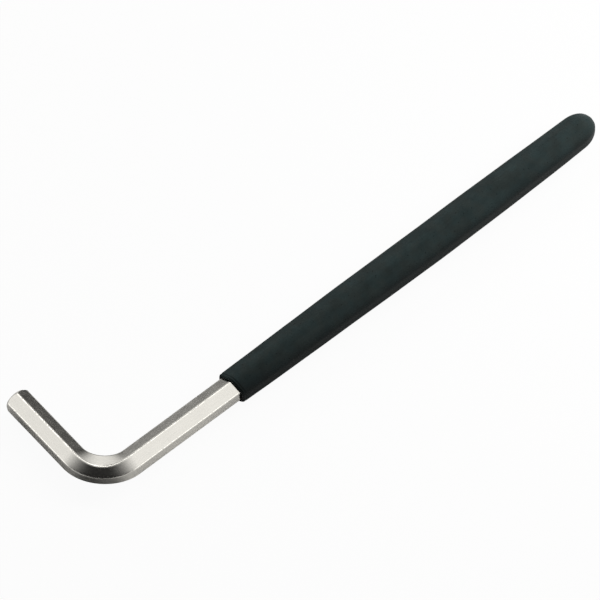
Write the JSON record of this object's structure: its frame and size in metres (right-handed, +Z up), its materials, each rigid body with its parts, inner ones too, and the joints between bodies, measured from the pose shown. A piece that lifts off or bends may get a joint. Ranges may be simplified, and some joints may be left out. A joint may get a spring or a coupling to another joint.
{
  "type": "hex key",
  "caption": "Long-arm L-shaped hexagonal steel key for socket screws, with a chamfered driving end and a soft black dipped vinyl sleeve on the long arm.",
  "frame": {"origin": "middle of the key's bounding box, on the surface that the key lies on", "axes": "+X along the long arm toward the closed end of the sleeve, +Y along the short arm toward its driving face, +Z up"},
  "size_m": [0.2062, 0.0469, 0.0128],
  "materials": {
    "steel": "satin nickel-plated steel with a fine grain along the bar",
    "vinyl": "soft matt black dipped vinyl with a faint sheen"
  },
  "bodies": {
    "root": {"hex_bar": "steel", "grip": "vinyl"}
  },
  "joints": []
}
